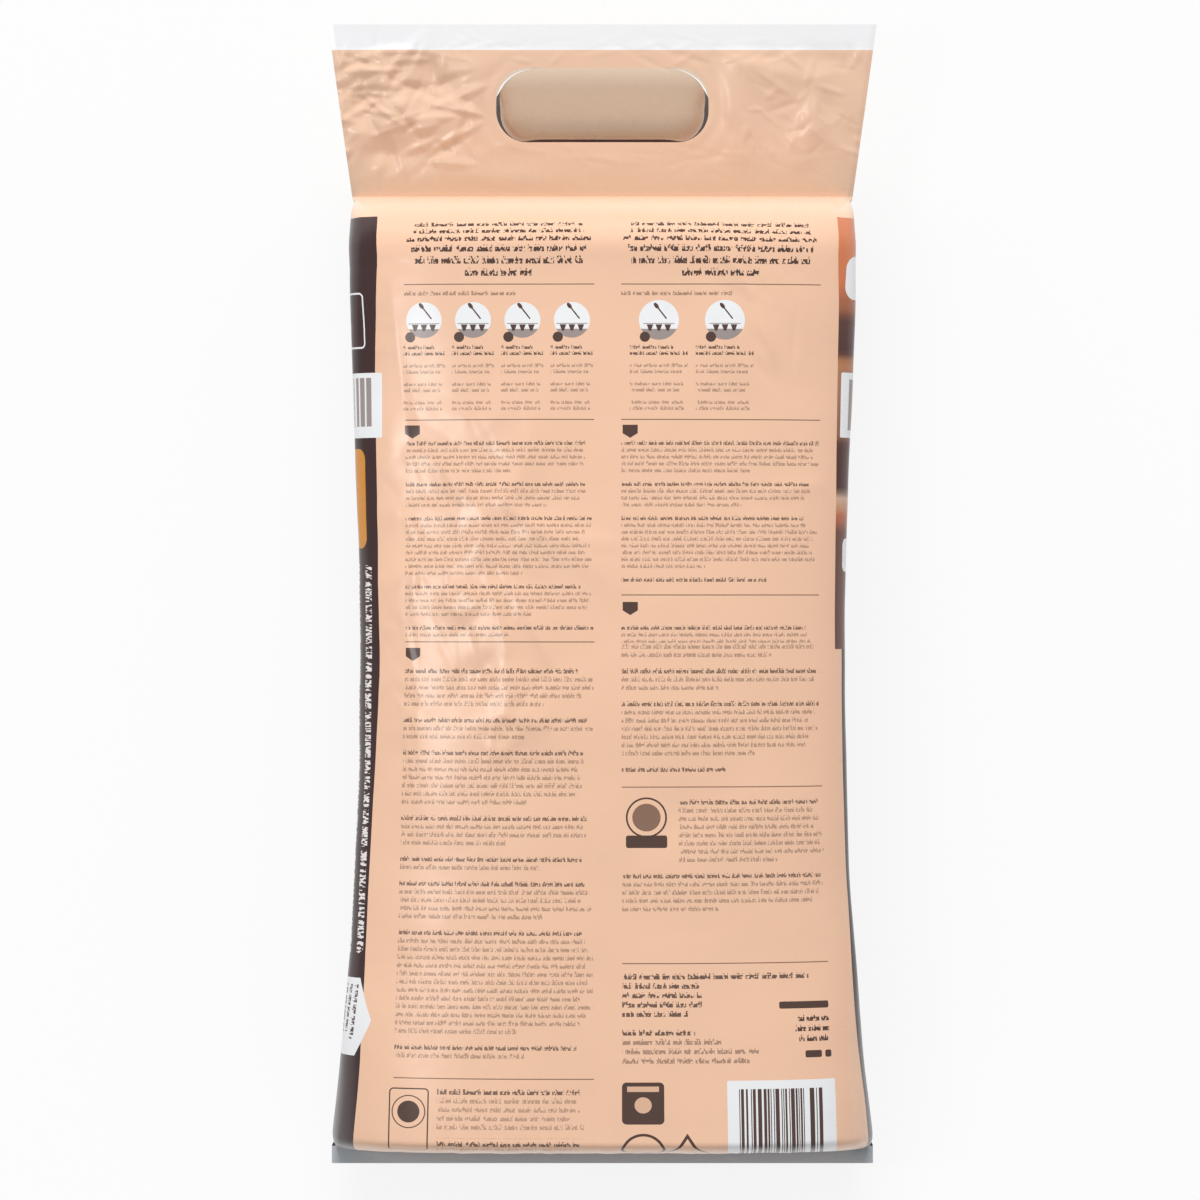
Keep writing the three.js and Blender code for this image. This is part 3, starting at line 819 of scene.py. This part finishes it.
text_end = work("SUBTRACT", column_right, both(last_line, text_reach, left_over))
text_shift = work("MULTIPLY_ADD", in_right, column_step, text_row)
text = strokes(u, text_shift, text_left, text_end, 1.05, 29.0, 0.09)
over(both(text, present[1], work("MULTIPLY_ADD", first_line, 0.3, 0.5)), text_brown)

# Plain marks and short lines at the foot of the panel
over(circle(19.2, 393, 8.6, 0.8), text_brown)
over(disc(19.2, 393, 6.2), rule_tan)
over(tag(10.2, 28.2, 401, 406.6, 1), text_brown)
foot_left, foot_lengths = 8.4, (81, 33, 34, 34, 28, 0, 31, 42, 58, 54, 0)
foot_row = rows(462.2, 4.17)
foot_line = work("FLOOR", foot_row)
foot_ends = [(number, length / 100) for number, length in enumerate(foot_lengths)]
foot_share = stepped(work("ADD", foot_line, 0.5), foot_ends, len(foot_lengths), "CONSTANT")
foot_reach = work("MULTIPLY", foot_share, 100)
foot = strokes(u, foot_row, foot_left, work("ADD", foot_reach, foot_left), 1.5, 41.0, 0.0)
foot_ink = work("SUBTRACT", 0.9, work("MULTIPLY", work("GREATER_THAN", foot_line, 6.5), 0.3))
over(both(foot, between(foot_row, 0, 10), foot_ink), text_brown)
note_row = rows(481.2, 4.5)
note_left = work("MULTIPLY_ADD", chance(work("FLOOR", note_row), 8.0), 9, 78)
note = strokes(u, work("ADD", note_row, 20), note_left, 98.2, 1.3, 43.0, 0.0)
over(both(note, between(note_row, 0, 3)), text_brown)
large_bars = ((75.8, 98.2, 475.6, 478.8), (86.8, 94.4, 497.6, 500.8), (96, 99, 497.6, 500.8))
over(either(*(tag(*ends, 0.8) for ends in large_bars)), text_brown)
over(frame_line(-91, -73.4, 514.2, 545, 2, 0.6), text_brown)
over(circle(-82.2, 524.8, 7.2, 0.5), text_brown)
over(disc(-82.2, 524.8, 4.9), text_brown)
base_row = rows(514, 3.9)
base_words = strokes(u, base_row, -69.9, -6.0, 1.3, 47.0)
base_line = work("FLOOR", base_row)
base_heads = either(between(base_line, -0.5, 0.5), between(base_line, 5.5, 6.5))
base_ink = work("MULTIPLY_ADD", base_heads, 0.4, 0.45)
over(both(base_words, either(between(base_row, 0, 5), between(base_row, 5.7, 8)), base_ink), text_brown)
over(tag(8.2, 26, 511.2, 530, 2), text_brown)
over(either(disc(17.1, 521.4, 3.6), field(10.4, 23.8, 513, 515.4)), colour(224, 182, 154))
over(circle(17.1, 543.5, 8.8, 1.2), text_brown)
triangle_middle, triangle_top, triangle_foot, triangle_slope = 35.6, 534, 550, 0.62
triangle = work("SUBTRACT", work("ABSOLUTE", work("SUBTRACT", u, triangle_middle)),
                work("MULTIPLY", work("SUBTRACT", v, triangle_top), triangle_slope))
over(both(between(triangle, -1.5, 0), between(v, triangle_top, triangle_foot)), text_brown)
over(tag(52.6, 100.2, 510.6, 600, 0.8), white)
bar_width = 0.42
bar = chance(work("FLOOR", work("DIVIDE", u, bar_width)), 51.0)
over(both(field(57.6, 94.2, 514.4, 590), work("GREATER_THAN", bar, 0.5)), text_brown)

# Bare white film in the top seal. The base seal is painted grey, as painted shade for the shadow the fill
# casts on it.
place_node = nodes.new("ShaderNodeTexCoord")
place_split = nodes.new("ShaderNodeSeparateXYZ")
links.new(place_node.outputs["Object"], place_split.inputs[0])
over(work("GREATER_THAN", place_split.outputs["Y"], seal_start / 1000), colour(247, 248, 250))
# Painted shade: the base seal is painted grey
over(work("LESS_THAN", place_split.outputs["Y"], body_start / 1000), colour(186, 192, 198))

# The film's satin face, with a faint unevenness that it keeps from the roller
satin = nodes.new("ShaderNodeTexNoise")
satin.inputs["Scale"].default_value = 45
satin.inputs["Detail"].default_value = 2
links.new(place_node.outputs["Object"], satin.inputs["Vector"])
satin_range = nodes.new("ShaderNodeMapRange")
satin_range.inputs["To Min"].default_value = 0.2
satin_range.inputs["To Max"].default_value = 0.36
links.new(satin.outputs["Fac"], satin_range.inputs["Value"])
links.new(satin_range.outputs["Result"], shader.inputs["Roughness"])
shader.inputs["IOR"].default_value = 1.5
uneven = nodes.new("ShaderNodeTexNoise")
uneven.inputs["Scale"].default_value = 90
uneven.inputs["Detail"].default_value = 1
links.new(place_node.outputs["Object"], uneven.inputs["Vector"])
relief = nodes.new("ShaderNodeBump")
relief.inputs["Strength"].default_value = 0.25
relief.inputs["Distance"].default_value = 0.0006
links.new(uneven.outputs["Fac"], relief.inputs["Height"])
links.new(relief.outputs["Normal"], shader.inputs["Normal"])
links.new(layers[-1], shader.inputs["Base Color"])

film.data.materials.clear()
film.data.materials.append(film_material)
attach(film, "root")
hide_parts("compost_bag")


# Floor: a plain pale studio floor that the bag lies on, of matt paper.
# To the camera and in the film's shine it shows as nearly white.
bpy.ops.object.select_all(action="DESELECT")
bpy.ops.mesh.primitive_plane_add(size=8, location=(0, 0, 0))
floor = bpy.context.object
floor.name = "studio_floor"
floor_material = bpy.data.materials.new("studio_floor")
floor_material.use_nodes = True
nodes, links = floor_material.node_tree.nodes, floor_material.node_tree.links
nodes.remove(nodes["Principled BSDF"])
paper = nodes.new("ShaderNodeBsdfDiffuse")
paper.inputs["Color"].default_value = (0.9, 0.9, 0.9, 1)
glow = nodes.new("ShaderNodeEmission")
seen = nodes.new("ShaderNodeLightPath")
share = nodes.new("ShaderNodeMath")
share.operation = "MULTIPLY"
share.inputs[1].default_value = 0.85
direct = nodes.new("ShaderNodeMath")
direct.operation = "MAXIMUM"
mirrored = nodes.new("ShaderNodeMath")
mirrored.operation = "MAXIMUM"
links.new(seen.outputs["Is Glossy Ray"], mirrored.inputs[0])
links.new(seen.outputs["Is Transmission Ray"], mirrored.inputs[1])
links.new(seen.outputs["Is Camera Ray"], direct.inputs[0])
links.new(mirrored.outputs[0], direct.inputs[1])
links.new(direct.outputs[0], share.inputs[0])
mixed = nodes.new("ShaderNodeMixShader")
links.new(share.outputs[0], mixed.inputs[0])
links.new(paper.outputs[0], mixed.inputs[1])
links.new(glow.outputs[0], mixed.inputs[2])
links.new(mixed.outputs[0], nodes["Material Output"].inputs["Surface"])
floor.data.materials.append(floor_material)


# Light: a wide low lamp from beyond the header, a small one over the left side, and an even pale room.
# The wide lamp is kept out of the film's shine.
def add_lamp(name, place, aim, width, length, power):
    lamp = bpy.data.lights.new(name, "AREA")
    lamp.shape, lamp.size, lamp.size_y, lamp.energy = "RECTANGLE", width, length, power
    holder = bpy.data.objects.new(name, lamp)
    bpy.context.collection.objects.link(holder)
    holder.location = place
    holder.rotation_euler = (Vector(aim) - Vector(place)).to_track_quat("-Z", "Y").to_euler()
    return holder


key_lamp = add_lamp("key_lamp", (-0.3, 7.4, 5.79), (0, 0, 0.05), 4.4, 3.7, 672)
key_lamp.visible_glossy = False
add_lamp("side_lamp", (-0.95, 0.05, 2.0), (0, 0, 0.1), 0.22, 0.4, 5.8)
room = bpy.context.scene.world or bpy.data.worlds.new("room")
bpy.context.scene.world = room
room.use_nodes = True
room.node_tree.nodes["Background"].inputs["Color"].default_value = (1, 1, 1, 1)
room.node_tree.nodes["Background"].inputs["Strength"].default_value = 0.42


# Camera: straight above the bag, a little over two metres up.
# Its angle is set by half of what it sees across at the height of the print.
half_view, view_distance = 0.2766, 2.155
camera_data = bpy.data.cameras.new("camera")
camera = bpy.data.objects.new("camera", camera_data)
bpy.context.collection.objects.link(camera)
camera.location = (-0.0011, -0.0011, 2.2)
camera_data.sensor_width = camera_data.sensor_height = 36
camera_data.angle = 2 * math.atan(half_view / view_distance)
bpy.context.scene.camera = camera
bpy.context.scene.view_settings.view_transform = "Standard"
